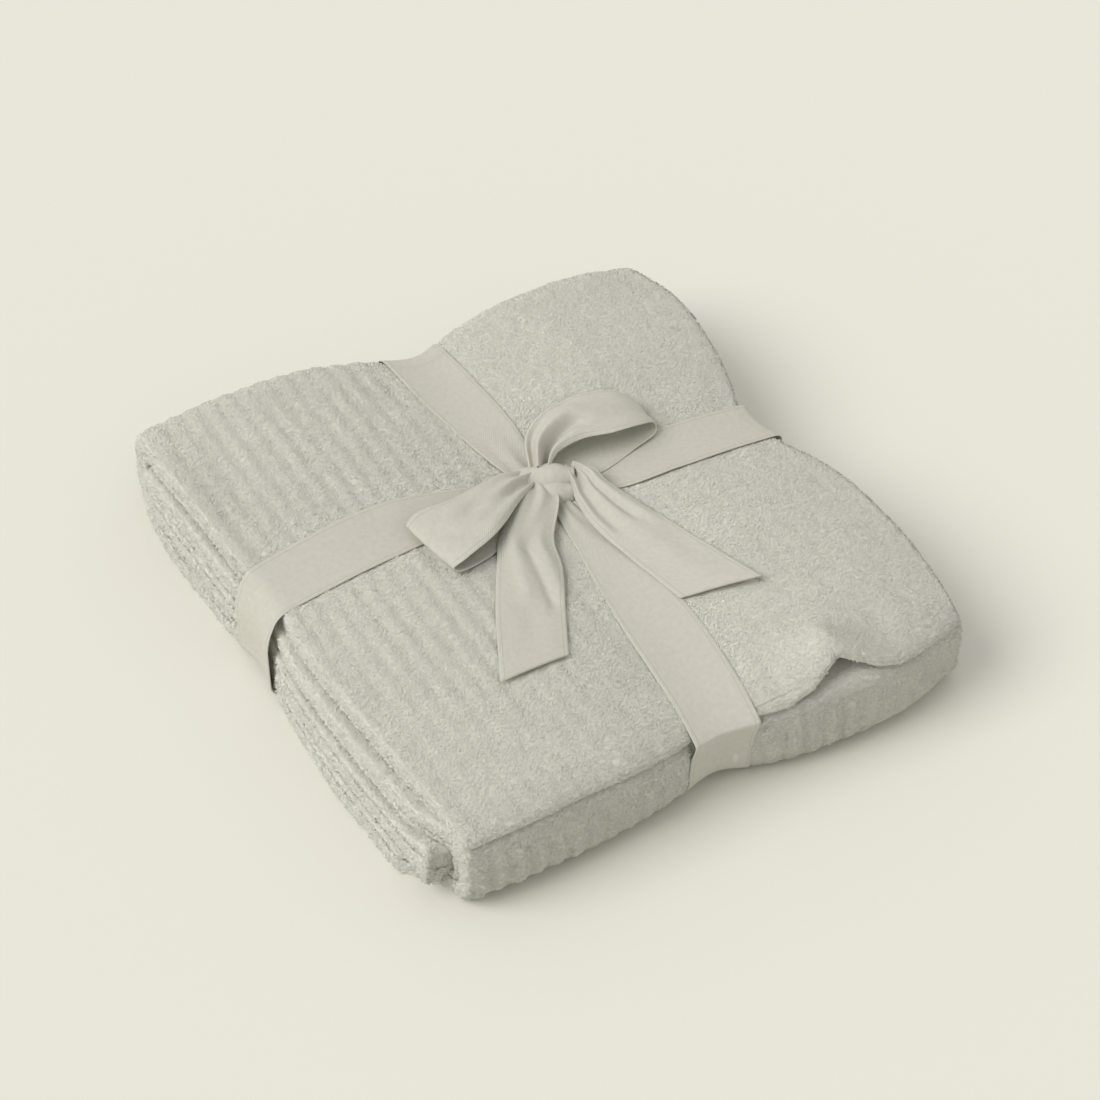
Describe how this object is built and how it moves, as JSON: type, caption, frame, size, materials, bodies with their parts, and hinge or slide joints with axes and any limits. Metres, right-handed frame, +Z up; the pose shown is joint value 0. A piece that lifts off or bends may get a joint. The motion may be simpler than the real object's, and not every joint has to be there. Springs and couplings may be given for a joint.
{
  "type": "folded throw blanket",
  "caption": "Thick ribbed throw blanket folded into a square pile and tied crosswise with a flat woven tape that ends in a bow on top.",
  "frame": {"origin": "middle of the folded square, on the surface it lies on", "axes": "+Z up through the pile, +Y from the front fold to the back fold along the ribs, +X to the side where the layers lie open"},
  "size_m": [0.4131, 0.4515, 0.0914],
  "materials": {
    "ivory_knit": "matte short plush pile",
    "cream_twill": "matte woven cotton"
  },
  "bodies": {
    "root": {"blanket": "ivory_knit", "tie": "cream_twill"}
  },
  "joints": []
}
